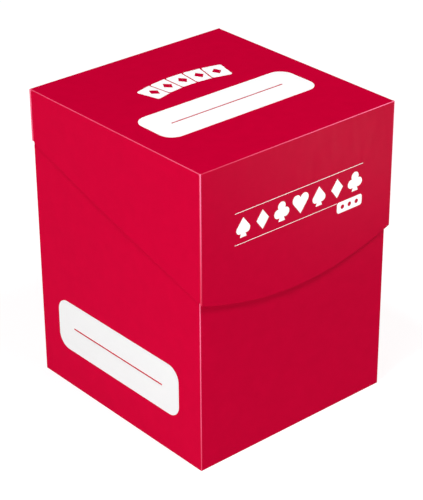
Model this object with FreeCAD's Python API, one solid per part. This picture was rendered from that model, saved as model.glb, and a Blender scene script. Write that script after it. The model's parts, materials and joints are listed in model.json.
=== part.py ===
import FreeCAD, Part
import math
import os

# A flip-top deck box for collectible cards, folded from die-cut polypropylene sheet.
# Units are millimetres. +Z is up and the front faces -Y. The origin is the centre of the
# closed box's footprint, on the surface that it stands on.

# ---- driving dimensions ----

SHEET = 0.5              # thickness of the polypropylene sheet, and outer radius of its folds
BODY_WIDTH = 72.0        # X, outside the body's side panels
BODY_DEPTH = 75.2        # Y, outside the body's front and back panels
HEIGHT = 95.4            # Z, over the lid's top panel
HINGE_HEIGHT = 78.4      # Z of the living hinge on the back

LID_SIDE_GAP = 0.05      # lid side flap to body side panel
LID_FRONT_GAP = 0.3      # lid front tabs to body front panel
LID_CORNER_HEIGHT = 55.5 # Z of the lower corners of the lid's front flap
LID_BOW = 6.5            # how far the front flap's lower edge bows down at its middle

HINGE_WEB = 0.8          # height of the thinned line of sheet that bends
HINGE_SHEET = 0.15       # thickness that is left in that line

FRONT_PANEL_HEIGHT = 82.5
SIDE_PANEL_HEIGHT = 94.0
SHOULDER_RADIUS = 11.5   # front top corner of each body side panel
NOTCH_RADIUS = 17.0      # half-round thumb notch in the front panel
NOTCH_EASE = 3.0         # rounding where the notch meets the panel's top edge
SIDE_STEP = 1.35         # the side panels step in at the back, beside the lid's back tabs
STEP_BELOW_HINGE = 0.6   # where that step starts, below the back panel's top edge

BOTTOM_TAB_HEIGHT = 10.0
TAB_TAPER = 1.5          # how far the bottom tabs stop short of the corners
SEAM_FLAP_WIDTH = 12.0
SEAM_FLAP_BOTTOM = 1.0
SEAM_FLAP_TOP = 76.5
LID_TAB_WIDTH = 9.5
LID_TAB_SHORT = 0.35     # how far the lid's front tabs stop above the flap's corners
TAB_CHAMFER = 2.0        # free corners of every glue tab

LABEL_LENGTH = 57.0      # write-on field, the same print on the lid and on the left side
LABEL_WIDTH = 16.85
LABEL_CORNER = 4.5
LABEL_RULE_LENGTH = 42.0 # writing line left unprinted in the field
LABEL_RULE_WIDTH = 0.55
INK = 0.04               # thickness of the printed ink
TOP_LABEL_X = -0.25
TOP_LABEL_Y = -8.05
SIDE_LABEL_Y = 1.3
SIDE_LABEL_Z = 21.15

EMBLEM_X = 1.0           # middle of the printed fan of cards on the lid
EMBLEM_Y = 13.6
FAN_CARDS = 5
FAN_CARD_WIDTH = 6.6
FAN_CARD_HEIGHT = 8.2
FAN_CARD_CORNER = 0.8
FAN_RADIUS = 48.0        # from the fan's pivot to the middle of its cards
FAN_STEP = 7.2           # degrees from one card to the next
FAN_LINE = 0.45          # unprinted line round each card where it covers the next

PRINT_HALF_WIDTH = 24.4  # print on the lid's front flap
PRINT_TOP_RULE_Z = 79.6
PRINT_LOW_RULE_Z = 69.9
PRINT_RULE_WIDTH = 0.14
PIP_HEIGHT = 6.0
PIP_COUNT = 7
TAG_LENGTH = 10.0        # plain tag that hangs from the end of the lower rule
TAG_HEIGHT = 3.5
TAG_DOTS = 3
TAG_DOT_RADIUS = 0.7

DIVIDER_WIDTH = 68.0
DIVIDER_HEIGHT = 88.0
DIVIDER_CORNER = 3.0
DIVIDER_TAB_WIDTH = 24.0
DIVIDER_TAB_HEIGHT = 4.0
DIVIDER_FROM_BACK = 0.25 # between the divider and the seam flap when it is pushed right back
DIVIDER_FOOT = 0.1       # above the bottom panel

# ---- planes worked out from them ----

BODY_OUTER_X = BODY_WIDTH / 2
BODY_INNER_X = BODY_OUTER_X - SHEET
LID_INNER_X = BODY_OUTER_X + LID_SIDE_GAP
LID_OUTER_X = LID_INNER_X + SHEET

LID_DEPTH = BODY_DEPTH + LID_FRONT_GAP + 2 * SHEET
BACK_OUTER_Y = LID_DEPTH / 2
BACK_INNER_Y = BACK_OUTER_Y - SHEET
SEAM_INNER_Y = BACK_INNER_Y - SHEET
BODY_FRONT_Y = BACK_OUTER_Y - BODY_DEPTH
BODY_FRONT_INNER_Y = BODY_FRONT_Y + SHEET
FLAP_OUTER_Y = -BACK_OUTER_Y
FLAP_INNER_Y = FLAP_OUTER_Y + SHEET
LID_TAB_INNER_Y = FLAP_INNER_Y + SHEET

TOP_INNER_Z = HEIGHT - SHEET
BACK_PANEL_TOP = HINGE_HEIGHT - HINGE_WEB / 2
LID_BACK_BOTTOM = HINGE_HEIGHT + HINGE_WEB / 2
STEP_Z = BACK_PANEL_TOP - STEP_BELOW_HINGE

TAB_OUTER_X = BODY_INNER_X
TAB_INNER_X = TAB_OUTER_X - SHEET
TAB_OUTER_Y = BODY_FRONT_INNER_Y
TAB_INNER_Y = TAB_OUTER_Y + SHEET

X, Y, Z = 0, 1, 2


# ---- shapes that repeat ----

def block(x0, x1, y0, y1, z0, z1):
    """A solid between three pairs of planes, given in any order."""
    low = FreeCAD.Vector(min(x0, x1), min(y0, y1), min(z0, z1))
    return Part.makeBox(abs(x1 - x0), abs(y1 - y0), abs(z1 - z0), low)


def fold(axis, start, stop, centre, outward):
    """A quarter turn of sheet along an axis, from start to stop. centre and outward are the
    other two coordinates, in X, Y, Z order: where the inner faces meet, and the signs of
    the corner that the fold rounds."""
    across = [i for i in (X, Y, Z) if i != axis]
    base = FreeCAD.Vector()
    base[axis] = start
    corner = FreeCAD.Vector()
    corner[axis] = stop
    for i, place, sign in zip(across, centre, outward):
        base[i] = place
        corner[i] = place + sign * SHEET
    direction = FreeCAD.Vector()
    direction[axis] = 1.0
    rod = Part.makeCylinder(SHEET, stop - start, base, direction)
    quarter = block(base.x, corner.x, base.y, corner.y, base.z, corner.z)
    return rod.common(quarter)


def joined(*shapes):
    """One solid from shapes that touch face to face."""
    return shapes[0].fuse(list(shapes[1:])).removeSplitter()


def plate(points, thickness):
    """A flat solid from an outline of points, extruded by the thickness vector."""
    outline = Part.makePolygon(points + [points[0]])
    return Part.Face(outline).extrude(thickness)


def corners_along(shape, axis, chosen):
    """The edges along an axis whose middle passes the test."""
    found = []
    for edge in shape.Edges:
        ends = [v.Point for v in edge.Vertexes]
        if len(ends) == 2:
            run = ends[1] - ends[0]
            if abs(abs(run[axis]) - run.Length) < 1e-6 and chosen((ends[0] + ends[1]) / 2):
                found.append(edge)
    return found


def mirrored(shape):
    """The same shape on the other side of the box's middle plane."""
    return shape.mirror(FreeCAD.Vector(0, 0, 0), FreeCAD.Vector(1, 0, 0))


# ---- body ----

def front_panel():
    """Flat between the two upright front folds, with the thumb notch in its top edge."""
    panel = block(-BODY_INNER_X, BODY_INNER_X, BODY_FRONT_Y, BODY_FRONT_INNER_Y, 0, FRONT_PANEL_HEIGHT)
    middle = FreeCAD.Vector(0, BODY_FRONT_Y - SHEET, FRONT_PANEL_HEIGHT)
    notch = Part.makeCylinder(NOTCH_RADIUS, 3 * SHEET, middle, FreeCAD.Vector(0, 1, 0))
    panel = panel.cut(notch)
    beside_notch = NOTCH_RADIUS + 1
    corners = corners_along(panel, Y, lambda p: p.z > FRONT_PANEL_HEIGHT - 1 and abs(p.x) < beside_notch)
    return panel.makeFillet(NOTCH_EASE, corners)


def side_panel(back_y):
    """The right side panel with its front fold. back_y is where its flat part ends."""
    flat = block(BODY_INNER_X, BODY_OUTER_X, BODY_FRONT_INNER_Y, back_y, 0, SIDE_PANEL_HEIGHT)
    step = block(BODY_INNER_X, BODY_OUTER_X, back_y, BACK_INNER_Y - SIDE_STEP, STEP_Z, SIDE_PANEL_HEIGHT)
    flat = flat.cut(step)
    shoulder = corners_along(flat, X, lambda p: p.y < 0 and p.z > HINGE_HEIGHT)
    flat = flat.makeFillet(SHOULDER_RADIUS, shoulder)
    centre = (BODY_INNER_X, BODY_FRONT_INNER_Y)
    return joined(flat, fold(Z, 0, FRONT_PANEL_HEIGHT, centre, (1, -1)))


def side_panel_right():
    return side_panel(SEAM_INNER_Y)


def side_panel_left():
    """The left side panel folds at the back too, straight into the back panel."""
    back_fold = fold(Z, 0, STEP_Z, (BODY_INNER_X, BACK_INNER_Y), (1, 1))
    return mirrored(joined(side_panel(BACK_INNER_Y), back_fold))


def back_panel():
    """Folds up from the bottom panel. Its right edge is a cut edge over the seam flap."""
    panel = block(-BODY_INNER_X, BODY_OUTER_X, BACK_INNER_Y, BACK_OUTER_Y, 0, BACK_PANEL_TOP)
    creased = block(-TAB_INNER_X, TAB_INNER_X, BACK_INNER_Y, BACK_OUTER_Y, 0, SHEET)
    crease = fold(X, -TAB_INNER_X, TAB_INNER_X, (BACK_INNER_Y, SHEET), (1, -1))
    return joined(panel.cut(creased), crease)


def seam_flap():
    """Folded from the right side panel and glued inside the back panel."""
    inner_x = BODY_INNER_X - SEAM_FLAP_WIDTH
    flat = block(inner_x, BODY_INNER_X, SEAM_INNER_Y, BACK_INNER_Y, SEAM_FLAP_BOTTOM, SEAM_FLAP_TOP)
    free_corners = corners_along(flat, Y, lambda p: p.x < inner_x + 1)
    flat = flat.makeChamfer(TAB_CHAMFER, free_corners)
    centre = (BODY_INNER_X, SEAM_INNER_Y)
    return joined(flat, fold(Z, SEAM_FLAP_BOTTOM, SEAM_FLAP_TOP, centre, (1, 1)))


def bottom_panel():
    return block(-TAB_INNER_X, TAB_INNER_X, TAB_INNER_Y, BACK_INNER_Y, 0, SHEET)


def bottom_tab_right():
    """Folded up from the bottom panel and glued inside the side panel."""
    front_y = TAB_INNER_Y + TAB_TAPER
    back_y = SEAM_INNER_Y - TAB_TAPER
    flat = block(TAB_INNER_X, TAB_OUTER_X, front_y, back_y, SHEET, BOTTOM_TAB_HEIGHT)
    free_corners = corners_along(flat, X, lambda p: p.z > BOTTOM_TAB_HEIGHT - 1)
    flat = flat.makeChamfer(TAB_CHAMFER, free_corners)
    return joined(flat, fold(Y, front_y, back_y, (TAB_INNER_X, SHEET), (1, -1)))


def bottom_tab_left():
    return mirrored(bottom_tab_right())


def bottom_tab_front():
    """Folded up from the bottom panel and glued inside the front panel."""
    half = TAB_INNER_X - TAB_TAPER
    flat = block(-half, half, TAB_OUTER_Y, TAB_INNER_Y, SHEET, BOTTOM_TAB_HEIGHT)
    free_corners = corners_along(flat, Y, lambda p: p.z > BOTTOM_TAB_HEIGHT - 1)
    flat = flat.makeChamfer(TAB_CHAMFER, free_corners)
    return joined(flat, fold(X, -half, half, (TAB_INNER_Y, SHEET), (-1, -1)))


def living_hinge():
    """The thinned line of sheet between the back panel and the lid."""
    web_inner_y = BACK_OUTER_Y - HINGE_SHEET
    return block(-BODY_INNER_X, BODY_OUTER_X, web_inner_y, BACK_OUTER_Y, BACK_PANEL_TOP, LID_BACK_BOTTOM)


# ---- lid ----

def lid_top_panel():
    return block(-LID_INNER_X, LID_INNER_X, FLAP_INNER_Y, BACK_INNER_Y, TOP_INNER_Z, HEIGHT)


def lid_front_flap():
    """Hangs over the body's front panel. Its lower edge is one long arc, lowest at its middle."""
    left = FreeCAD.Vector(-LID_OUTER_X, FLAP_OUTER_Y, LID_CORNER_HEIGHT)
    right = FreeCAD.Vector(LID_OUTER_X, FLAP_OUTER_Y, LID_CORNER_HEIGHT)
    lowest = FreeCAD.Vector(0, FLAP_OUTER_Y, LID_CORNER_HEIGHT - LID_BOW)
    top_right = FreeCAD.Vector(LID_OUTER_X, FLAP_OUTER_Y, TOP_INNER_Z)
    top_left = FreeCAD.Vector(-LID_OUTER_X, FLAP_OUTER_Y, TOP_INNER_Z)
    edges = [
        Part.Arc(left, lowest, right).toShape(),
        Part.LineSegment(right, top_right).toShape(),
        Part.LineSegment(top_right, top_left).toShape(),
        Part.LineSegment(top_left, left).toShape(),
    ]
    flat = Part.Face(Part.Wire(edges)).extrude(FreeCAD.Vector(0, SHEET, 0))
    crease = fold(X, -LID_OUTER_X, LID_OUTER_X, (FLAP_INNER_Y, TOP_INNER_Z), (-1, 1))
    return joined(flat, crease)


def side_flap_edge(y):
    """Height of the side flaps' lower edge: straight from the hinge to the front corner."""
    slope = (HINGE_HEIGHT - LID_CORNER_HEIGHT) / LID_DEPTH
    return LID_CORNER_HEIGHT + slope * (y - FLAP_OUTER_Y)


def lid_side_flap_right():
    """Folded down from the lid's top panel."""
    ends = (LID_TAB_INNER_Y, SEAM_INNER_Y)
    points = [FreeCAD.Vector(LID_INNER_X, y, side_flap_edge(y)) for y in ends]
    points += [FreeCAD.Vector(LID_INNER_X, y, TOP_INNER_Z) for y in reversed(ends)]
    flat = plate(points, FreeCAD.Vector(SHEET, 0, 0))
    crease = fold(Y, FLAP_INNER_Y, BACK_INNER_Y, (LID_INNER_X, TOP_INNER_Z), (1, 1))
    return joined(flat, crease)


def lid_side_flap_left():
    return mirrored(lid_side_flap_right())


def lid_back_panel():
    """Stands on the living hinge and folds into the lid's top panel."""
    flat = block(-LID_OUTER_X, LID_OUTER_X, BACK_INNER_Y, BACK_OUTER_Y, LID_BACK_BOTTOM, TOP_INNER_Z)
    crease = fold(X, -LID_OUTER_X, LID_OUTER_X, (BACK_INNER_Y, TOP_INNER_Z), (1, 1))
    return joined(flat, crease)


def lid_tab(inner_y, outer_y, bottom):
    """A glue tab folded from the right side flap, behind the lid's front flap or back panel."""
    outward = 1 if outer_y > inner_y else -1
    inner_x = LID_INNER_X - LID_TAB_WIDTH
    flat = block(inner_x, LID_INNER_X, inner_y, outer_y, bottom, TOP_INNER_Z)
    free_corners = corners_along(flat, Y, lambda p: p.x < inner_x + 1)
    flat = flat.makeChamfer(TAB_CHAMFER, free_corners)
    return joined(flat, fold(Z, bottom, TOP_INNER_Z, (LID_INNER_X, inner_y), (1, outward)))


def lid_front_tab_right():
    bottom = side_flap_edge(LID_TAB_INNER_Y) + LID_TAB_SHORT
    return lid_tab(LID_TAB_INNER_Y, FLAP_INNER_Y, bottom)


def lid_front_tab_left():
    return mirrored(lid_front_tab_right())


def lid_back_tab_right():
    return lid_tab(SEAM_INNER_Y, BACK_INNER_Y, LID_BACK_BOTTOM)


def lid_back_tab_left():
    return mirrored(lid_back_tab_right())


# ---- divider ----

def divider():
    """A loose sheet that stands between the cards, with a finger tab on its top edge."""
    outer_y = SEAM_INNER_Y - DIVIDER_FROM_BACK
    foot = SHEET + DIVIDER_FOOT
    half = DIVIDER_WIDTH / 2
    top = foot + DIVIDER_HEIGHT
    sheet = block(-half, half, outer_y - SHEET, outer_y, foot, top)
    sheet = sheet.makeFillet(DIVIDER_CORNER, corners_along(sheet, Y, lambda p: True))
    tab_half = DIVIDER_TAB_WIDTH / 2
    tab = block(-tab_half, tab_half, outer_y - SHEET, outer_y, top - SHEET, top + DIVIDER_TAB_HEIGHT)
    tab = tab.makeFillet(DIVIDER_CORNER, corners_along(tab, Y, lambda p: p.z > top))
    return joined(sheet, tab)


# ---- print ----
# Each print is drawn flat, in X and Y from its own centre, one ink thickness high.

def disc(radius, x, y):
    return Part.makeCylinder(radius, INK, FreeCAD.Vector(x, y, 0))


def flat_polygon(points):
    return plate([FreeCAD.Vector(x, y, 0) for x, y in points], FreeCAD.Vector(0, 0, INK))


def rounded_field(length, width, radius):
    """A rectangle with rounded corners."""
    field = block(-length / 2, length / 2, -width / 2, width / 2, 0, INK)
    return field.makeFillet(radius, corners_along(field, Z, lambda p: True))


def write_on_field():
    """A printed field to write on, with an unprinted writing line along its middle."""
    half = LABEL_RULE_LENGTH / 2
    line = block(-half, half, -LABEL_RULE_WIDTH / 2, LABEL_RULE_WIDTH / 2, 0, INK)
    return rounded_field(LABEL_LENGTH, LABEL_WIDTH, LABEL_CORNER).cut(line)


def diamond(height):
    """A diamond pip, a little narrower than it is high."""
    half_width = 0.38 * height
    return flat_polygon([(0, height / 2), (half_width, 0), (0, -height / 2), (-half_width, 0)])


def heart(height):
    """Two lobes and a point below them, with the sides tangent to the lobes."""
    lobe = 0.26 * height
    lobe_x = 0.95 * lobe
    lobe_y = height / 2 - lobe
    reach = math.hypot(lobe_x, lobe_y + height / 2)
    turn = math.atan2(lobe_y + height / 2, lobe_x) - math.asin(lobe / reach)
    side = math.sqrt(reach ** 2 - lobe ** 2)
    side_x = side * math.cos(turn)
    side_y = side * math.sin(turn) - height / 2
    point = flat_polygon([(0, -height / 2), (side_x, side_y), (0, lobe_y), (-side_x, side_y)])
    between = flat_polygon([(side_x, side_y), (lobe_x, lobe_y), (-lobe_x, lobe_y), (-side_x, side_y)])
    return joined(disc(lobe, lobe_x, lobe_y), disc(lobe, -lobe_x, lobe_y), point, between)


def stem(height):
    """The foot of a spade or a club, narrow where it leaves the pip."""
    foot = 0.2 * height
    neck = 0.04 * height
    return flat_polygon([(-foot, -height / 2), (foot, -height / 2), (neck, 0), (-neck, 0)])


def spade(height):
    """A heart upside down, on a stem."""
    leaf = heart(0.82 * height)
    leaf.rotate(FreeCAD.Vector(0, 0, 0), FreeCAD.Vector(0, 0, 1), 180)
    leaf.translate(FreeCAD.Vector(0, 0.09 * height, 0))
    return joined(leaf, stem(height))


def club(height):
    """Three round leaves on a stem. They meet in a small disc."""
    leaf = 0.235 * height
    top = disc(leaf, 0, height / 2 - leaf)
    low_y = -0.08 * height
    middle = disc(leaf / 2, 0, 0)
    return joined(top, disc(leaf, leaf, low_y), disc(leaf, -leaf, low_y), middle, stem(height))


def fan_of_cards():
    """Cards spread from one pivot. Each covers a little of the next, behind an unprinted line."""
    pivot = FreeCAD.Vector(0, -FAN_RADIUS, 0)
    gap = 2 * FAN_LINE
    fan = None
    for i in range(FAN_CARDS):
        turn = FAN_STEP * ((FAN_CARDS - 1) / 2 - i)
        card = rounded_field(FAN_CARD_WIDTH, FAN_CARD_HEIGHT, FAN_CARD_CORNER)
        card = card.cut(diamond(FAN_CARD_HEIGHT / 2))
        margin = rounded_field(FAN_CARD_WIDTH + gap, FAN_CARD_HEIGHT + gap, FAN_CARD_CORNER)
        for shape in (card, margin):
            shape.rotate(pivot, FreeCAD.Vector(0, 0, 1), turn)
        fan = card if fan is None else Part.makeCompound(fan.cut(margin).Solids + card.Solids)
    return fan


def rules_and_pips():
    """Two rules with a row of card suits between them. The lower rule ends in a plain tag."""
    half_gap = (PRINT_TOP_RULE_Z - PRINT_LOW_RULE_Z) / 2
    half_rule = PRINT_RULE_WIDTH / 2
    tag_left = PRINT_HALF_WIDTH - TAG_LENGTH
    pieces = []
    for y, end in ((half_gap, PRINT_HALF_WIDTH), (-half_gap, tag_left - PRINT_RULE_WIDTH)):
        pieces.append(block(-PRINT_HALF_WIDTH, end, y - half_rule, y + half_rule, 0, INK))
    suits = (spade, diamond, club, heart)
    step = (2 * PRINT_HALF_WIDTH - PIP_HEIGHT) / (PIP_COUNT - 1)
    for i in range(PIP_COUNT):
        pip = suits[i % len(suits)](PIP_HEIGHT)
        pip.translate(FreeCAD.Vector((i - (PIP_COUNT - 1) / 2) * step, 0, 0))
        pieces += pip.Solids
    tag = rounded_field(TAG_LENGTH, TAG_HEIGHT, TAG_HEIGHT / 4)
    for i in range(TAG_DOTS):
        tag = tag.cut(disc(TAG_DOT_RADIUS, (i - (TAG_DOTS - 1) / 2) * 0.8 * TAG_HEIGHT, 0))
    tag.translate(FreeCAD.Vector(tag_left + TAG_LENGTH / 2, half_rule - half_gap - TAG_HEIGHT / 2, 0))
    pieces += tag.Solids
    return Part.makeCompound(pieces)


def on_front(flat, z):
    """Stands a flat print on the outside of the lid's front flap."""
    flat.rotate(FreeCAD.Vector(0, 0, 0), FreeCAD.Vector(1, 0, 0), 90)
    flat.translate(FreeCAD.Vector(0, FLAP_OUTER_Y, z))
    return flat


def top_label():
    label = write_on_field()
    label.translate(FreeCAD.Vector(TOP_LABEL_X, TOP_LABEL_Y, HEIGHT))
    return label


def lid_emblem():
    emblem = fan_of_cards()
    emblem.translate(FreeCAD.Vector(EMBLEM_X, EMBLEM_Y, HEIGHT))
    return emblem


def front_print():
    return on_front(rules_and_pips(), (PRINT_TOP_RULE_Z + PRINT_LOW_RULE_Z) / 2)


def side_label():
    """The write-on field on the body's left side panel."""
    label = write_on_field()
    label.rotate(FreeCAD.Vector(0, 0, 0), FreeCAD.Vector(1, 0, 0), 90)
    label.rotate(FreeCAD.Vector(0, 0, 0), FreeCAD.Vector(0, 0, 1), -90)
    label.translate(FreeCAD.Vector(-BODY_OUTER_X, SIDE_LABEL_Y, SIDE_LABEL_Z))
    return label


# ---- one file for each piece ----

PIECES = (
    front_panel,
    back_panel,
    side_panel_left,
    side_panel_right,
    seam_flap,
    bottom_panel,
    bottom_tab_left,
    bottom_tab_right,
    bottom_tab_front,
    living_hinge,
    side_label,
    lid_top_panel,
    lid_front_flap,
    lid_side_flap_left,
    lid_side_flap_right,
    lid_back_panel,
    lid_front_tab_left,
    lid_front_tab_right,
    lid_back_tab_left,
    lid_back_tab_right,
    top_label,
    lid_emblem,
    front_print,
    divider,
)

os.makedirs("parts", exist_ok=True)
for piece in PIECES:
    piece().exportStep("parts/" + piece.__name__ + ".step")
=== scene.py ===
import json
import math

import bmesh
import bpy
from mathutils import Matrix, Vector, noise


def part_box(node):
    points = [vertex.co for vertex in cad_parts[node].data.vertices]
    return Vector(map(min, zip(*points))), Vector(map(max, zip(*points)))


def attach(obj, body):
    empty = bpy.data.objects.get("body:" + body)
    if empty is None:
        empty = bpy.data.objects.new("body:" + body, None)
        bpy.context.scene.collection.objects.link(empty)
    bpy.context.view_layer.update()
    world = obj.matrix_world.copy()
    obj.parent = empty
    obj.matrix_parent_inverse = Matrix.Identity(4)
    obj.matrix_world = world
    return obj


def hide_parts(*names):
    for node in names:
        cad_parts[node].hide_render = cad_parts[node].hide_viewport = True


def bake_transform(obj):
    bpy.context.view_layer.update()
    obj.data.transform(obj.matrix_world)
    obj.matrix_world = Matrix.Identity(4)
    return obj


# The looks of a flip-top card deck box of red polypropylene sheet, built around its CAD frame.
# Everything is in metres, in the frame's axes: +Z up, front at -Y, left at -X, hinge at the back.

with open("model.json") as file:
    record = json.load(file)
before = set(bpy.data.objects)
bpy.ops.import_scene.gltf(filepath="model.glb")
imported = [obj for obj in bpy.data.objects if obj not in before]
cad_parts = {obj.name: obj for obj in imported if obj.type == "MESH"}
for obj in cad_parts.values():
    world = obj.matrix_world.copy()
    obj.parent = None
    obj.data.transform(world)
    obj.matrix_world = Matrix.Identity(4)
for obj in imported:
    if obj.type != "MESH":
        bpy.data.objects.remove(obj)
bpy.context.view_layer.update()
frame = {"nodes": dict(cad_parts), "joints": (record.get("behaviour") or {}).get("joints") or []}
MM = 0.001

# ---- sizes read from the frame ----

top_low, top_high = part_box("lid_top_panel")
flap_low, flap_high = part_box("lid_front_flap")
side_flap_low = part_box("lid_side_flap_right")[0]
lid_back_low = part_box("lid_back_panel")[0]
front_low, front_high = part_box("front_panel")
side_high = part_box("side_panel_right")[1]
back_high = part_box("back_panel")[1]
hinge_low, hinge_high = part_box("living_hinge")
divider_low, divider_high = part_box("divider")

SHEET = top_high.z - top_low.z           # thickness of the sheet
HEIGHT = top_high.z
LID_X = flap_high.x                      # outside of the lid's side flaps
BODY_X = side_high.x                     # outside of the body's side panels
BACK_Y = back_high.y                     # outside of the back panels
BODY_FRONT_Y = front_low.y
FLAP_Y = flap_low.y                      # outside of the lid's front flap
LID_TAB_Y = FLAP_Y + SHEET               # outside of the tabs behind the front flap
SEAM_Y = BACK_Y - SHEET                  # outside of the seam flap and the lid's back tabs
BOTTOM_TAB_X = BODY_X - SHEET            # outside of the bottom tabs
BOTTOM_TAB_Y = BODY_FRONT_Y + SHEET
HINGE = Vector(frame["joints"][0]["pos_m"])

# ---- outlines that the boxes of the frame's nodes don't tell ----

NOTCH_RADIUS = 17.0 * MM                 # half-round thumb notch in the front panel
NOTCH_EASE = 3.0 * MM                    # rounding where the notch meets the panel's top edge
SHOULDER_RADIUS = 11.5 * MM              # front top corner of each body side panel
STEP_Y = SEAM_Y - 1.35 * MM              # where the side panels step down to make room for the lid's
STEP_Z = back_high.z - 0.6 * MM          # back tabs, and the height that they step down to
STEP_RUN = 0.2 * MM                      # the step's wall is not quite upright
TAB_CHAMFER = 2.0 * MM                   # free corners of every glue tab
TAB_GAP = 0.06 * MM                      # between the top of a lid tab and the fold over it
DIVIDER_CORNER = 3.0 * MM                # radius of the divider's corners
DIVIDER_TAB_HALF = 12.0 * MM             # half the width of its finger tab
DIVIDER_TAB_HEIGHT = 4.0 * MM
DIVIDER_TAB_RUN = 0.25 * MM              # the finger tab's foot is wider by this much on each side

# ---- the sheet's own small shapes ----

INNER_RADIUS = 0.08 * MM                 # inside of a fold
OUTER_RADIUS = 0.30 * MM                 # outside of a creased fold, tighter than the sheet is thick
SETBACK = SHEET + INNER_RADIUS           # from a fold's sharp corner to where the flat begins
FOLD_STEPS = 6
CUT_BEVEL = 0.07 * MM                    # rounding that a cutting die leaves
FINE = 0.3 * MM                          # mesh spacing next to an edge
COARSE = 3.0 * MM                        # mesh spacing in the middle of a panel
GROWTH = 1.6                             # from one mesh spacing to the next, away from an edge
CLOSEST = 0.02 * MM                      # places nearer than this to each other are one place
SLIVER = 0.05 * MM                       # height of a flap's flat where only its top fold goes on
SMOOTH_ANGLE = math.radians(35)

FLAP_BULGE = 0.32 * MM                   # the front flap's free edge stands out a little at its middle,
SIDE_BULGE = 0.30 * MM                   # and so do the side flaps'
FRONT_BULGE = 0.12 * MM                  # and the top of the body's front panel
DIVIDER_BULGE = 0.35 * MM                # the loose divider is not quite flat
FLAP_FREE = 0.85                         # share of its half width over which the front flap bulges,
SIDE_FREE = 0.90                         # and of the side flaps'
FRONT_FREE = 0.95                        # and of the front panel's

# ---- camera and light ----

CAMERA_TARGET = Vector((-0.0008, -0.0010, 0.0453))
CAMERA_DISTANCE = 0.5369
CAMERA_AZIMUTH = math.radians(-40.69)
CAMERA_ELEVATION = math.radians(28.24)
CAMERA_ROLL = math.radians(-0.35)
CAMERA_LENS = 128.59                     # mm, on a sensor 36 mm on its long side
CAMERA_SENSOR = 36.0

WORLD_LIGHT = 0.06
FLOOR_GLOW = 0.80                        # the floor shines like a light table and shows hardly any shadow
SHEEN_POINT = (0.020, -0.037, 0.090)     # in the front flap's right upper corner


def direction(azimuth, elevation):
    """Unit vector from the object towards a viewer or a lamp. Azimuth 0 is in front, at -Y."""
    flat = math.cos(elevation)
    return Vector((math.sin(azimuth) * flat, -math.cos(azimuth) * flat, math.sin(elevation)))


def make_camera():
    data = bpy.data.cameras.new("camera")
    data.lens = CAMERA_LENS
    data.sensor_width = CAMERA_SENSOR
    data.clip_start = 0.05
    data.clip_end = 20.0
    camera = bpy.data.objects.new("camera", data)
    bpy.context.scene.collection.objects.link(camera)
    back = direction(CAMERA_AZIMUTH, CAMERA_ELEVATION)
    camera.location = CAMERA_TARGET + back * CAMERA_DISTANCE
    aim = (-back).to_track_quat("-Z", "Y").to_matrix()
    roll = Matrix.Rotation(CAMERA_ROLL, 3, "Z")
    camera.rotation_euler = (aim @ roll).to_euler()
    bpy.context.scene.camera = camera


def softbox(name, azimuth, elevation, distance, size, strength, target=(0, 0, 0.05)):
    """A square area lamp that looks at the target. White paper held up to it there shines at its strength."""
    data = bpy.data.lights.new(name, "AREA")
    data.shape = "SQUARE"
    data.size = size
    data.energy = strength * (math.pi * distance) ** 2
    lamp = bpy.data.objects.new(name, data)
    bpy.context.scene.collection.objects.link(lamp)
    towards = direction(math.radians(azimuth), math.radians(elevation))
    lamp.location = Vector(target) + towards * distance
    lamp.rotation_euler = (-towards).to_track_quat("-Z", "Y").to_euler()
    return lamp


def make_light():
    """A dim white room with six softboxes and a card. The two high ones draw the shadows under the lid's
    flaps, the low ones even out the walls, and the card shows only as a sheen on the front flap."""
    world = bpy.data.worlds.new("studio")
    bpy.context.scene.world = world
    world.use_nodes = True
    background = world.node_tree.nodes["Background"]
    background.inputs["Color"].default_value = rgb(1.0, 1.0, 1.0)
    background.inputs["Strength"].default_value = WORLD_LIGHT
    world.cycles_visibility.glossy = False
    broad = (
        softbox("left_light", azimuth=-70, elevation=5, distance=0.5, size=0.3, strength=0.63),
        softbox("high_left_light", azimuth=-78, elevation=69, distance=1.2, size=0.16, strength=0.48),
        softbox("high_front_light", azimuth=12, elevation=60, distance=1.2, size=0.3, strength=0.52),
        softbox("front_right_light", azimuth=55, elevation=4, distance=0.5, size=0.3, strength=0.05),
    )
    for lamp in broad:
        lamp.visible_glossy = False
    softbox("right_light", azimuth=100, elevation=3, distance=1.2, size=0.5, strength=0.3)
    softbox("back_light", azimuth=-170, elevation=3, distance=1.2, size=0.5, strength=0.3)
    card = softbox(
        "sheen_card", azimuth=40, elevation=-20, distance=0.12, size=0.05, strength=1.8, target=SHEEN_POINT,
    )
    card.visible_diffuse = False
    bpy.context.scene.view_settings.view_transform = "Standard"


# ---- materials ----

MIX_COLOUR_A, MIX_COLOUR_B, MIX_COLOUR_OUT = 6, 7, 2   # a Mix node's colour sockets
NOISE_LOW, NOISE_HIGH = 0.25, 0.75       # most of a noise's values lie between these

SHEET_MOTTLE = 260                       # scales of the noises, in waves per metre
SHEET_STREAKS = 900
SHEET_GRAIN = 5200
INK_CLOUD = 420
INK_WEAVE = 7000
FLOOR_CLOUD = 6

STREAK_STRETCH = (1, 1, 0.12)            # the sheet's streaks are long and upright
SHEET_SPECULAR = 0.006                   # low, or the bright floor would show in the walls
INK_SPECULAR = 0.2


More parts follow.
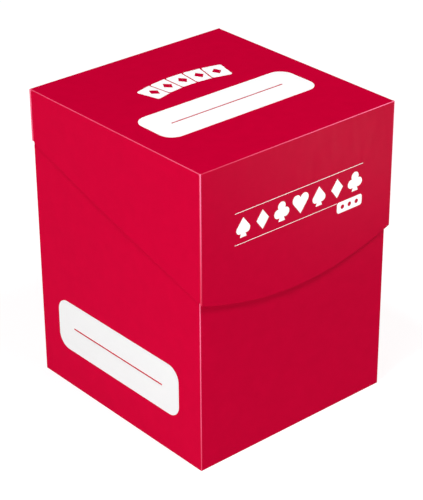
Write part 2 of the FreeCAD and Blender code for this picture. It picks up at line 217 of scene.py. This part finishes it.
class Shader:
    """A material under construction: adds nodes and links them in one call."""

    def __init__(self, name):
        self.material = bpy.data.materials.new(name)
        self.material.use_nodes = True
        self.tree = self.material.node_tree
        self.surface = self.tree.nodes["Principled BSDF"]

    def node(self, kind, settings=None, **inputs):
        made = self.tree.nodes.new(kind)
        for key, value in (settings or {}).items():
            setattr(made, key, value)
        for key, value in inputs.items():
            self.feed(made.inputs[key.replace("_", " ")], value)
        return made

    def feed(self, socket, value):
        if isinstance(value, bpy.types.NodeSocket):
            self.tree.links.new(value, socket)
        else:
            socket.default_value = value

    def noise(self, scale, detail=2.0, stretch=(1, 1, 1)):
        """Noise in the object's own metres: scale is in waves per metre."""
        place = self.node("ShaderNodeTexCoord").outputs["Object"]
        spread = self.node("ShaderNodeMapping", Vector=place, Scale=stretch).outputs["Vector"]
        return self.node("ShaderNodeTexNoise", Vector=spread, Scale=scale, Detail=detail).outputs["Fac"]

    def remap(self, value, low, high):
        ranged = self.node("ShaderNodeMapRange", Value=value)
        ranged.inputs["From Min"].default_value = NOISE_LOW
        ranged.inputs["From Max"].default_value = NOISE_HIGH
        ranged.inputs["To Min"].default_value = low
        ranged.inputs["To Max"].default_value = high
        return ranged.outputs["Result"]

    def mix(self, factor, first, second):
        mixed = self.node("ShaderNodeMix", {"data_type": "RGBA"})
        self.feed(mixed.inputs["Factor"], factor)
        self.feed(mixed.inputs[MIX_COLOUR_A], first)
        self.feed(mixed.inputs[MIX_COLOUR_B], second)
        return mixed.outputs[MIX_COLOUR_OUT]

    def bump(self, height, strength, depth):
        bumped = self.node("ShaderNodeBump", Height=height, Strength=strength, Distance=depth)
        self.feed(self.surface.inputs["Normal"], bumped.outputs["Normal"])


def rgb(red, green, blue):
    return (red, green, blue, 1.0)


WHITENING_AND_HIGHLIGHT = rgb(1.0, 0.23, 0.40)          # colour of the sheet where a sharp bend has stressed it, made paler as a painted highlight of the light along the fold


def sheet_material(name, deep, bright):
    """Matte extruded polypropylene: faint mottling, fine grain, whitened where it is creased, with a painted
    highlight along each fold.
    """
    shader = Shader(name)
    mottle = shader.remap(shader.noise(SHEET_MOTTLE, detail=3.0), low=0.0, high=1.0)
    body = shader.mix(mottle, deep, bright)
    # the crease mask mixes in stress whitening and a painted highlight along each fold
    crease = shader.node("ShaderNodeAttribute", {"attribute_name": "crease"}).outputs["Fac"]
    shader.feed(shader.surface.inputs["Base Color"], shader.mix(crease, body, WHITENING_AND_HIGHLIGHT))
    streaks = shader.noise(SHEET_STREAKS, stretch=STREAK_STRETCH)
    shader.feed(shader.surface.inputs["Roughness"], shader.remap(streaks, low=0.40, high=0.50))
    shader.surface.inputs["Specular IOR Level"].default_value = SHEET_SPECULAR
    shader.bump(shader.noise(SHEET_GRAIN, detail=3.0), strength=0.12, depth=0.03 * MM)
    return shader.material


def ink_material(name, white):
    """Matte white screen ink, a little uneven, with a faint weave from the screen."""
    shader = Shader(name)
    cloud = shader.remap(shader.noise(INK_CLOUD, detail=3.0), low=0.0, high=1.0)
    faint = 0.985 * white
    colour = shader.mix(cloud, rgb(faint, faint, faint), rgb(white, white, white))
    shader.feed(shader.surface.inputs["Base Color"], colour)
    shader.feed(shader.surface.inputs["Roughness"], shader.remap(cloud, low=0.55, high=0.65))
    shader.surface.inputs["Specular IOR Level"].default_value = INK_SPECULAR
    shader.bump(shader.noise(INK_WEAVE), strength=0.08, depth=0.01 * MM)
    return shader.material


def floor_material():
    shader = Shader("pale_floor")
    cloud = shader.remap(shader.noise(FLOOR_CLOUD), low=0.0, high=1.0)
    grey = shader.mix(cloud, rgb(0.29, 0.29, 0.29), rgb(0.31, 0.31, 0.31))
    shader.feed(shader.surface.inputs["Base Color"], grey)
    shader.surface.inputs["Emission Color"].default_value = rgb(1.0, 1.0, 1.0)
    shader.surface.inputs["Emission Strength"].default_value = FLOOR_GLOW
    shader.surface.inputs["Roughness"].default_value = 0.9
    shader.surface.inputs["Specular IOR Level"].default_value = 0.0
    return shader.material


RED_SHEET = sheet_material("red_sheet", deep=rgb(0.505, 0.0, 0.028), bright=rgb(0.535, 0.0, 0.030))
RED_DIVIDER = sheet_material("red_divider", deep=rgb(0.465, 0.0, 0.026), bright=rgb(0.50, 0.0, 0.029))
# the cut edges are paler than the sheet: partly its sheared edge, partly a painted highlight along the edge
RED_CUT = sheet_material("red_cut_edge", deep=rgb(0.66, 0.02, 0.06), bright=rgb(0.70, 0.03, 0.07))
WHITE_INK = ink_material("white_ink", white=0.985)
SHADED_WHITE_INK = ink_material("shaded_white_ink", white=0.76)  # painted shade: a greyer copy of the white ink for the more brightly lit label on the body's side


# ---- faces of the folded box ----

class Side:
    """A plane that sheet lies on. across and up are its two axes, and out is their cross product."""

    def __init__(self, origin, across, up):
        self.origin = Vector(origin)
        self.across = Vector(across)
        self.up = Vector(up)
        self.out = self.across.cross(self.up)

    def point(self, across, up, inward):
        return self.origin + self.across * across + self.up * up - self.out * inward


def front_side(y):
    return Side((0, y, 0), (1, 0, 0), (0, 0, 1))


def right_side(x):
    return Side((x, 0, 0), (0, 1, 0), (0, 0, 1))


def back_side(y):
    """Across runs from right to left, so that out is +Y."""
    return Side((0, y, 0), (-1, 0, 0), (0, 0, 1))


def top_side(z):
    return Side((0, 0, z), (1, 0, 0), (0, 1, 0))


def bottom_side(z):
    """Up runs from back to front, so that out is -Z."""
    return Side((0, 0, z), (1, 0, 0), (0, -1, 0))


class Station:
    """One line of a sheet's mesh. flat is its place on the flat sheet. outer and inner say how far each
    surface lies beyond that place, and how far inwards, once the sheet is folded."""

    def __init__(self, flat, outer=(0.0, 0.0), inner=(0.0, SHEET)):
        self.flat = flat
        self.outer = outer
        self.inner = inner


def half_spaced(length, fine):
    """Places from 0 to length, evenly spaced, or close together next to 0 where it is fine."""
    if not fine:
        count = max(1, round(length / COARSE))
        return [length * i / count for i in range(count + 1)]
    places = [0.0]
    step = FINE
    while places[-1] + step < length:
        places.append(places[-1] + step)
        step = min(step * GROWTH, COARSE)
    if len(places) == 1:
        return [0.0, length]
    scale = length / places[-1]
    return [p * scale for p in places]


def spaced(start, stop, fine_start=True):
    """Places from start to stop, close together at the stop and at a fine start."""
    half = (stop - start) / 2
    first = [start + p for p in half_spaced(half, fine_start)]
    last = [stop - p for p in half_spaced(half, True)]
    return first + last[::-1][1:]


def in_order(places):
    """Places sorted, with those that nearly coincide left out."""
    kept = []
    for place in sorted(places):
        if not kept or place - kept[-1] > CLOSEST:
            kept.append(place)
    return kept


def rounded(places, centre, radius, start, stop, steps=8):
    """Adds places round an arc, as seen across: centre plus radius times the cosine of each angle."""
    turns = [start + (stop - start) * i / steps for i in range(steps + 1)]
    return places + [centre + radius * math.cos(turn) for turn in turns]


def fold_stations(edge, sign):
    """A quarter turn past the flat's edge, towards the inside of the box. sign is +1 past the high end."""
    run = SETBACK - OUTER_RADIUS
    inner_steps = FOLD_STEPS + 2

    def inner(step):
        turn = math.pi / 2 * step / inner_steps
        return (sign * INNER_RADIUS * math.sin(turn), SETBACK - INNER_RADIUS * math.cos(turn))

    stations = [Station(edge, (sign * run, 0.0), inner(1))]
    for i in range(1, FOLD_STEPS + 1):
        turn = math.pi / 2 * i / FOLD_STEPS
        outer = (sign * (run + OUTER_RADIUS * math.sin(turn)), OUTER_RADIUS * (1 - math.cos(turn)))
        stations.append(Station(edge, outer, inner(i + 1)))
    stations.append(Station(edge, (sign * SETBACK, SETBACK), inner(inner_steps)))
    return stations


def with_folds(places, low_fold=False, high_fold=False):
    """Stations at the places, and round a fold past either end."""
    stations = [Station(p) for p in places]
    if low_fold:
        stations = fold_stations(places[0], -1)[::-1] + stations
    if high_fold:
        stations = stations + fold_stations(places[-1], 1)
    return stations


def rows_between(length, low_fold=False, high_fold=False):
    """Stations up a panel of about this length, from 0 at its low edge to 1 at its high edge."""
    places = [p / length for p in spaced(0.0, length)]
    return with_folds(places, low_fold, high_fold)


def constant(value):
    """An edge that is the same height everywhere across."""
    return lambda across: value


def corner_drop(from_edge, radius):
    """How far a rounded corner falls, this far in from the edge beside it."""
    short = max(0.0, radius - from_edge)
    return radius - math.sqrt(max(0.0, radius ** 2 - short ** 2))


def no_bulge(across, up):
    return 0.0


def surface_grid(mesh, surface, side, columns, rows, low, high, mirror, bulge):
    """The vertices of a sheet's outer or inner surface: a list for each column, from its low edge up."""
    counted_twice = SHEET if surface == "inner" else 0.0   # by the column and by the row
    grid = []
    for column in columns:
        past_across, in_across = getattr(column, surface)
        bottom = low(column.flat)
        top = high(column.flat)
        line = []
        for row in rows:
            past_up, in_up = getattr(row, surface)
            up = bottom + (top - bottom) * row.flat
            inward = in_across + in_up - counted_twice - bulge(column.flat, up)
            point = side.point(column.flat + past_across, up + past_up, inward)
            if mirror:
                point.x = -point.x
            line.append(mesh.verts.new(point))
        grid.append(line)
    return grid


def close_rims(mesh, outer, inner, columns, free, cut_span):
    """Walls between the two surfaces, all round. Returns the sharp edges that the cutting die rounds."""
    last_column = len(outer) - 1
    last_row = len(outer[0]) - 1
    rims = {
        "across0": [(0, j) for j in range(last_row + 1)],
        "across1": [(last_column, j) for j in range(last_row + 1)],
        "up0": [(i, 0) for i in range(last_column + 1)],
        "up1": [(i, last_row) for i in range(last_column + 1)],
    }
    cut_edges = []
    for edge_name, rim in rims.items():
        for (i, j), (k, m) in zip(rim, rim[1:]):
            wall = mesh.faces.new((outer[i][j], outer[k][m], inner[k][m], inner[i][j]))
            ends = (columns[i].flat, columns[k].flat)
            within = cut_span is None or (min(ends) >= cut_span[0] and max(ends) <= cut_span[1])
            if edge_name in free and within:
                wall.material_index = 1
                cut_edges.append(mesh.edges.get((outer[i][j], outer[k][m])))
                cut_edges.append(mesh.edges.get((inner[i][j], inner[k][m])))
    for i, upright in ((0, "across0"), (last_column, "across1")):
        for j, level in ((0, "up0"), (last_row, "up1")):
            if upright in free and level in free:
                cut_edges.append(mesh.edges.get((outer[i][j], inner[i][j])))
    return cut_edges


def build_sheet(name, side, columns, rows, low, high, free, mirror=False, bulge=no_bulge, cut_span=None):
    """A closed mesh of sheet. columns are stations across. rows are stations from 0 at the low edge to 1
    at the high edge, and low and high say how high those are at a place across. free names the edges
    that are cut: across0, across1, up0, up1. Past cut_span, two places across, they aren't rounded."""
    mesh = bmesh.new()
    shape = (side, columns, rows, low, high, mirror, bulge)
    outer = surface_grid(mesh, "outer", *shape)
    inner = surface_grid(mesh, "inner", *shape)
    for i in range(len(columns) - 1):
        for j in range(len(rows) - 1):
            mesh.faces.new((outer[i][j], outer[i + 1][j], outer[i + 1][j + 1], outer[i][j + 1]))
            mesh.faces.new((inner[i][j], inner[i][j + 1], inner[i + 1][j + 1], inner[i + 1][j]))
    cut_edges = close_rims(mesh, outer, inner, columns, free, cut_span)
    bmesh.ops.recalc_face_normals(mesh, faces=mesh.faces)
    bmesh.ops.bevel(
        mesh, geom=cut_edges, offset=CUT_BEVEL, segments=2, profile=0.5, affect="EDGES", clamp_overlap=True,
    )
    return finish_sheet(name, mesh)


# ---- creases, where bending has whitened the sheet and a highlight along each fold is painted in ----

CREASE_CORE = 0.13 * MM                  # fully white this near to a fold's sharp corner
CREASE_EDGE = 0.24 * MM                  # and not white at all this far from it
CREASE_WAVES = 160.0                     # the whiteness waxes and wanes this many times in a metre,
CREASE_UNEVEN = 0.25                     # by this share of it


class Crease:
    """A line along a fold's sharp corner, with how white it is at its two ends: stress whitening and a
    painted highlight.
    """

    def __init__(self, start, end, start_white, end_white, width=1.0):
        self.start = Vector(start)
        self.end = Vector(end)
        self.start_white = start_white
        self.end_white = end_white
        self.core = CREASE_CORE * width
        self.edge = CREASE_EDGE * width

    def whiteness(self, point):
        run = self.end - self.start
        along = (point - self.start).dot(run) / run.length_squared
        along = min(max(along, 0.0), 1.0)
        distance = (point - self.start - run * along).length
        if distance > self.edge:
            return 0.0
        fall = min(max((self.edge - distance) / (self.edge - self.core), 0.0), 1.0)
        uneven = 1.0 + CREASE_UNEVEN * noise.noise(point * CREASE_WAVES)
        white = self.start_white + (self.end_white - self.start_white) * along
        return min(1.0, white * uneven * fall * fall * (3 - 2 * fall))


def make_creases():
    """Each fold's line from end to end, and how white it is at those two ends, which paints the light's
    highlight along that fold as well as its whitening.
    """
    corner_z = side_flap_low.z
    creases = [
        Crease((-LID_X, FLAP_Y, HEIGHT), (LID_X, FLAP_Y, HEIGHT), 0.2, 1.0),
        Crease((-LID_X, BACK_Y, HEIGHT), (LID_X, BACK_Y, HEIGHT), 0.6, 0.6),
        Crease((-BODY_X, BACK_Y, HINGE.z), (BODY_X, BACK_Y, HINGE.z), 0.4, 0.4, width=2.0),
        Crease((-BODY_X, BACK_Y, HINGE.z), (-BODY_X, BACK_Y, 0), 0.7, 0.5),
        Crease((BODY_X, SEAM_Y, HINGE.z), (BODY_X, SEAM_Y, 0), 0.7, 0.5),
        Crease((-BODY_X, BACK_Y, 0), (BODY_X, BACK_Y, 0), 0.6, 0.6),
        Crease((-BOTTOM_TAB_X, BOTTOM_TAB_Y, 0), (BOTTOM_TAB_X, BOTTOM_TAB_Y, 0), 0.6, 0.6),
    ]
    for sign in (-1, 1):
        x = sign * LID_X
        creases.append(Crease((x, LID_TAB_Y, HEIGHT), (x, LID_TAB_Y, corner_z), 0.05, 0.05))
        creases.append(Crease((x, FLAP_Y, HEIGHT), (x, FLAP_Y, corner_z), 1.0, 0.1, width=1.3))
        creases.append(Crease((x, SEAM_Y, HEIGHT), (x, SEAM_Y, HINGE.z), 0.8, 0.7))
        creases.append(Crease((x, FLAP_Y, HEIGHT), (x, BACK_Y, HEIGHT), 0.45, 0.35))
        x = sign * BODY_X
        creases.append(Crease((x, BODY_FRONT_Y, front_high.z), (x, BODY_FRONT_Y, 0), 1.0, 0.3, width=1.1))
        x = sign * BOTTOM_TAB_X
        creases.append(Crease((x, BOTTOM_TAB_Y, 0), (x, BACK_Y, 0), 0.6, 0.6))
    return creases


CREASES = make_creases()


def finish_sheet(name, mesh):
    """An object with smooth shading, the two materials of sheet, and its creases' whiteness at each point,
    whitening and painted highlight in one.
    """
    data = bpy.data.meshes.new(name)
    mesh.to_mesh(data)
    mesh.free()
    obj = bpy.data.objects.new(name, data)
    bpy.context.scene.collection.objects.link(obj)
    data.materials.append(RED_SHEET)
    data.materials.append(RED_CUT)
    data.shade_smooth()
    data.set_sharp_from_angle(angle=SMOOTH_ANGLE)
    whiteness = data.attributes.new("crease", "FLOAT", "POINT")
    for vertex, value in zip(data.vertices, whiteness.data):
        value.value = max(crease.whiteness(vertex.co) for crease in CREASES)
    return obj


def stand_for(obj, body, node):
    """obj rides on a body and is shown in place of its CAD node."""
    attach(obj, body)
    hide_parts(node)


# ---- the lid ----

LID_UPPER = HEIGHT - SETBACK             # where the lid's upright flats end and its top folds begin
FLAP_SLOPE = (HINGE.z - side_flap_low.z) / (BACK_Y - LID_TAB_Y - SHEET)   # of the side flaps' lower edges
SIDE_FLAP_LENGTH = 30.0 * MM             # about the length of a side flap, for the spacing of its rows


def side_flap_edge(y):
    """The side flaps' lower edge: straight from the hinge down to the front flap's corner."""
    return HINGE.z - FLAP_SLOPE * (BACK_Y - y)


FLAP_CORNER_Z = side_flap_edge(FLAP_Y)


def front_flap_edge(x):
    """The front flap's lower edge: one arc through its two corners and its lowest point."""
    bow = FLAP_CORNER_Z - flap_low.z
    radius = (LID_X ** 2 + bow ** 2) / (2 * bow)
    return flap_low.z + radius - math.sqrt(radius ** 2 - x ** 2)


def flap_bulge(x, z):
    """The flap's free edge stands out most at its middle; its glued ends and its top fold hold it flat."""
    sideways = max(0.0, 1.0 - (x / (LID_X * FLAP_FREE)) ** 2)
    down = min(max((HEIGHT - z) / (HEIGHT - flap_low.z), 0.0), 1.0)
    return FLAP_BULGE * sideways ** 2 * down ** 2


def side_flap_bulge(y, z):
    along = max(0.0, 1.0 - (y / (BACK_Y * SIDE_FREE)) ** 2)
    down = (HEIGHT - z) / (HEIGHT - side_flap_edge(y))
    return SIDE_BULGE * along ** 2 * down ** 2


def make_lid_panels():
    half_x = LID_X - SETBACK
    half_y = BACK_Y - SETBACK
    top = build_sheet(
        "lid_top", top_side(HEIGHT), with_folds(spaced(-half_x, half_x)), rows_between(2 * half_y),
        constant(-half_y), constant(half_y), free=(),
    )
    stand_for(top, "lid", "lid_top_panel")
    flap = build_sheet(
        "lid_front", front_side(FLAP_Y), with_folds(spaced(-LID_X, LID_X)),
        rows_between(LID_UPPER - FLAP_CORNER_Z, high_fold=True), front_flap_edge, constant(LID_UPPER),
        free=("across0", "across1", "up0"), bulge=flap_bulge,
    )
    stand_for(flap, "lid", "lid_front_flap")
    back = build_sheet(
        "lid_back", back_side(BACK_Y), with_folds(spaced(-LID_X, LID_X)),
        rows_between(LID_UPPER - lid_back_low.z, high_fold=True), constant(lid_back_low.z),
        constant(LID_UPPER), free=("across0", "across1", "up0"),
    )
    stand_for(back, "lid", "lid_back_panel")


def make_lid_side(which):
    """A side flap's flat lies between its two tabs, and its top fold runs on past them to the corners."""
    front_end = LID_TAB_Y + SETBACK
    back_end = SEAM_Y - SETBACK
    corner = BACK_Y - SETBACK

    def lower_edge(y):
        return side_flap_edge(y) if front_end <= y <= back_end else LID_UPPER - SLIVER

    past_flat = [back_end + SLIVER / 2, corner]
    places = [-corner, front_end - SLIVER / 2] + spaced(front_end, back_end) + past_flat
    flap = build_sheet(
        "lid_side_" + which, right_side(LID_X), with_folds(places),
        rows_between(SIDE_FLAP_LENGTH, high_fold=True), lower_edge, constant(LID_UPPER), free=("up0",),
        mirror=which == "left", bulge=side_flap_bulge, cut_span=(front_end, back_end),
    )
    stand_for(flap, "lid", "lid_side_flap_" + which)


def make_tab(node, side, reach, bottom, top, body, mirror=False, fold_at_low=False):
    """A glue tab with two chamfered corners on its free edge and an upright fold on the other.
    reach is where its free edge and its fold lie across."""
    free_end, fold_end = reach

    def corner_cut(across):
        return max(0.0, TAB_CHAMFER - abs(across - free_end))

    chamfer_end = free_end + math.copysign(TAB_CHAMFER, fold_end - free_end)
    places = in_order(spaced(min(reach), max(reach)) + [chamfer_end])
    tab = build_sheet(
        node + "_sheet", side, with_folds(places, low_fold=fold_at_low, high_fold=not fold_at_low),
        rows_between(top - bottom), lambda a: bottom + corner_cut(a), lambda a: top - corner_cut(a),
        free=("across1" if fold_at_low else "across0", "up0", "up1"), mirror=mirror,
    )
    stand_for(tab, body, node)


def make_lid_tabs():
    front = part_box("lid_front_tab_right")[0]
    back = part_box("lid_back_tab_right")[0]
    top = LID_UPPER - TAB_GAP
    for which in ("left", "right"):
        make_tab(
            "lid_front_tab_" + which, front_side(LID_TAB_Y), (front.x, LID_X - SETBACK), front.z, top,
            "lid", mirror=which == "left",
        )
        make_tab(
            "lid_back_tab_" + which, back_side(SEAM_Y), (-back.x, SETBACK - LID_X), back.z, top,
            "lid", mirror=which == "left", fold_at_low=True,
        )


# ---- the body ----

NOTCH_EASE_X = math.sqrt((NOTCH_RADIUS + NOTCH_EASE) ** 2 - NOTCH_EASE ** 2)   # where the rounding begins
NOTCH_MEET = math.acos(NOTCH_EASE_X / (NOTCH_RADIUS + NOTCH_EASE))   # turn at which the two arcs meet


def front_panel_edge(x):
    """Straight, with a half-round thumb notch eased into it."""
    top = front_high.z
    x = abs(x)
    if x >= NOTCH_EASE_X:
        return top
    if x > NOTCH_RADIUS * NOTCH_EASE_X / (NOTCH_RADIUS + NOTCH_EASE):
        return top - NOTCH_EASE + math.sqrt(NOTCH_EASE ** 2 - (NOTCH_EASE_X - x) ** 2)
    return top - math.sqrt(NOTCH_RADIUS ** 2 - x ** 2)


def front_bulge(x, z):
    sideways = max(0.0, 1.0 - (x / (BODY_X * FRONT_FREE)) ** 2)
    return FRONT_BULGE * sideways * (z / front_high.z) ** 2


def make_front_panel():
    places = spaced(NOTCH_EASE_X, BODY_X - SETBACK)
    places = rounded(places, NOTCH_EASE_X, -NOTCH_EASE, math.pi / 2, NOTCH_MEET)
    places = rounded(places, 0.0, NOTCH_RADIUS, NOTCH_MEET, math.pi / 2, steps=20)
    places = in_order(places + [-p for p in places])
    panel = build_sheet(
        "front", front_side(BODY_FRONT_Y), with_folds(places), rows_between(front_high.z),
        constant(0.0), front_panel_edge, free=("up0", "up1"), bulge=front_bulge,
    )
    stand_for(panel, "body", "front_panel")


def make_side_panels():
    front_end = BODY_FRONT_Y + SETBACK

    def upper_edge(y):
        return STEP_Z if y > STEP_Y else side_high.z - corner_drop(y - front_end, SHOULDER_RADIUS)

    for which, back_end in (("left", BACK_Y - SETBACK), ("right", SEAM_Y - SETBACK)):
        places = spaced(front_end, back_end) + [STEP_Y, STEP_Y + STEP_RUN]
        places = rounded(places, front_end + SHOULDER_RADIUS, -SHOULDER_RADIUS, 0.0, math.pi / 2, steps=12)
        panel = build_sheet(
            "side_" + which, right_side(BODY_X),
            with_folds(in_order(places), low_fold=True, high_fold=which == "left"),
            rows_between(side_high.z), constant(0.0), upper_edge, free=("up0", "up1"), mirror=which == "left",
        )
        stand_for(panel, "body", "side_panel_" + which)


def make_back_panel():
    panel = build_sheet(
        "back", back_side(BACK_Y), with_folds(spaced(-BODY_X, BODY_X - SETBACK)),
        rows_between(back_high.z, low_fold=True), constant(SETBACK), constant(back_high.z),
        free=("across0", "up1"),
    )
    stand_for(panel, "body", "back_panel")
    low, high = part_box("seam_flap")
    make_tab(
        "seam_flap", back_side(SEAM_Y), (-low.x, SETBACK - BODY_X), low.z, high.z, "body", fold_at_low=True,
    )


def make_bottom():
    half = BOTTOM_TAB_X - SETBACK
    back_end = SETBACK - BACK_Y
    front_end = -(BOTTOM_TAB_Y + SETBACK)
    panel = build_sheet(
        "bottom", bottom_side(0.0), with_folds(spaced(-half, half)), rows_between(front_end - back_end),
        constant(back_end), constant(front_end), free=(),
    )
    stand_for(panel, "body", "bottom_panel")
    low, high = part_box("bottom_tab_right")
    side = right_side(BOTTOM_TAB_X)
    for which in ("left", "right"):
        make_bottom_tab("bottom_tab_" + which, side, low.y, high.y, high.z, mirror=which == "left")
    low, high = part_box("bottom_tab_front")
    make_bottom_tab("bottom_tab_front", front_side(BOTTOM_TAB_Y), low.x, high.x, high.z)


def make_bottom_tab(node, side, start, stop, top, mirror=False):
    """A tab folded up from the bottom panel, with its two upper corners chamfered."""

    def upper_edge(across):
        return top - max(0.0, TAB_CHAMFER - (across - start), TAB_CHAMFER - (stop - across))

    places = in_order(spaced(start, stop) + [start + TAB_CHAMFER, stop - TAB_CHAMFER])
    tab = build_sheet(
        node + "_sheet", side, with_folds(places), rows_between(top - SETBACK, low_fold=True),
        constant(SETBACK), upper_edge, free=("across0", "across1", "up1"), mirror=mirror,
    )
    stand_for(tab, "body", node)


# ---- the living hinge ----

WEB_SHEET = 0.13 * MM                    # thickness left in the pressed line
WEB_LAP = 0.08 * MM                      # how far the line runs into the sheet above and below it
WEB_GROOVE = 0.07 * MM                   # depth of the groove that pressing leaves outside,
WEB_RIM = 0.4                            # and the share of that depth along its two rims
WEB_ROWS = 12


def make_hinge():
    """The pressed line between the back panel and the lid."""
    low = hinge_low.z - WEB_LAP
    high = hinge_high.z + WEB_LAP
    mesh = bmesh.new()
    loops = []
    for x in spaced(hinge_low.x, hinge_high.x):
        outside = []
        inside = []
        for j in range(WEB_ROWS + 1):
            share = j / WEB_ROWS
            z = low + (high - low) * share
            depth = WEB_GROOVE * (WEB_RIM + (1 - WEB_RIM) * math.sin(math.pi * share))
            outside.append(mesh.verts.new((x, BACK_Y - depth, z)))
            inside.append(mesh.verts.new((x, BACK_Y - depth - WEB_SHEET, z)))
        loops.append(outside + inside[::-1])
    count = len(loops[0])
    for first, second in zip(loops, loops[1:]):
        for j in range(count):
            k = (j + 1) % count
            mesh.faces.new((first[j], second[j], second[k], first[k]))
    mesh.faces.new(loops[0])
    mesh.faces.new(loops[-1][::-1])
    bmesh.ops.recalc_face_normals(mesh, faces=mesh.faces)
    web = finish_sheet("hinge_web", mesh)
    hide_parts("living_hinge")
    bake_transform(web)


# ---- the divider ----

def divider_top(x):
    """Rounded corners, and a finger tab with rounded corners that stands in the middle."""
    shoulder = divider_high.z - DIVIDER_TAB_HEIGHT
    x = abs(x)
    if x <= DIVIDER_TAB_HALF:
        return divider_high.z - corner_drop(DIVIDER_TAB_HALF - x, DIVIDER_CORNER)
    return shoulder - corner_drop(divider_high.x - x, DIVIDER_CORNER)


def divider_foot(x):
    return divider_low.z + corner_drop(divider_high.x - abs(x), DIVIDER_CORNER)


def divider_bulge(x, z):
    return DIVIDER_BULGE * math.cos(math.pi / 2 * x / divider_high.x)


def make_divider():
    corner = divider_high.x - DIVIDER_CORNER
    tab_corner = DIVIDER_TAB_HALF - DIVIDER_CORNER
    places = spaced(DIVIDER_TAB_HALF + DIVIDER_TAB_RUN, corner)
    places = rounded(places, corner, DIVIDER_CORNER, math.pi / 2, 0.0)
    places = rounded(places, tab_corner, DIVIDER_CORNER, math.pi / 2, 0.0)
    places += spaced(0.0, tab_corner, fine_start=False)
    places = in_order(places + [-p for p in places])
    sheet = build_sheet(
        "divider_sheet", front_side(divider_low.y), with_folds(places), rows_between(divider_high.z),
        divider_foot, divider_top, free=("across0", "across1", "up0", "up1"), bulge=divider_bulge,
    )
    sheet.data.materials[0] = RED_DIVIDER
    stand_for(sheet, "divider", "divider")


# ---- the print ----

PRINT_CUT = 2.0 * MM                     # spacing of the cuts that let a print follow a curved panel


def make_front_print():
    """The front flap's print, cut into small squares so that it follows the flap's bulge."""
    low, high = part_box("front_print")
    mesh = bmesh.new()
    mesh.from_mesh(frame["nodes"]["front_print"].data)
    for axis, start, stop in ((0, low.x, high.x), (2, low.z, high.z)):
        normal = Vector((0, 0, 0))
        normal[axis] = 1.0
        place = start + PRINT_CUT
        while place < stop:
            everything = mesh.verts[:] + mesh.edges[:] + mesh.faces[:]
            bmesh.ops.bisect_plane(mesh, geom=everything, plane_co=normal * place, plane_no=normal)
            place += PRINT_CUT
    for vertex in mesh.verts:
        vertex.co.y -= flap_bulge(vertex.co.x, vertex.co.z)
    data = bpy.data.meshes.new("front_ink")
    mesh.to_mesh(data)
    mesh.free()
    data.materials.clear()
    data.materials.append(WHITE_INK)
    ink = bpy.data.objects.new("front_ink", data)
    bpy.context.scene.collection.objects.link(ink)
    stand_for(ink, "lid", "front_print")


def ink_other_prints():
    for name, ink in (("top_label", WHITE_INK), ("lid_emblem", WHITE_INK), ("side_label", SHADED_WHITE_INK)):
        data = frame["nodes"][name].data
        data.materials.clear()
        data.materials.append(ink)


# ---- what the box stands on ----

FLOOR_HALF = 4.0                         # half the floor's side


def rectangle(name, x, front, back, z, material):
    """A level rectangle from -x to x and from front to back."""
    data = bpy.data.meshes.new(name)
    data.from_pydata([(-x, front, z), (x, front, z), (x, back, z), (-x, back, z)], [], [(0, 1, 2, 3)])
    data.materials.append(material)
    plane = bpy.data.objects.new(name, data)
    bpy.context.scene.collection.objects.link(plane)
    return plane


def make_floor():
    floor = rectangle("floor", FLOOR_HALF, -FLOOR_HALF, FLOOR_HALF, 0.0, floor_material())
    floor.visible_glossy = False


def make_shade_sheet():
    """A red sheet under the box, put there as painted shade, so that the bright floor doesn't show through
    the folded corners.
    """
    inset = SHEET / 2
    shade_sheet = rectangle("shade_sheet", BODY_X - inset, BODY_FRONT_Y + inset, BACK_Y - inset, SHEET / 10, RED_SHEET)


make_camera()
make_light()
make_lid_panels()
make_lid_side("left")
make_lid_side("right")
make_lid_tabs()
make_front_panel()
make_side_panels()
make_back_panel()
make_bottom()
make_hinge()
make_divider()
make_front_print()
ink_other_prints()
make_floor()
make_shade_sheet()
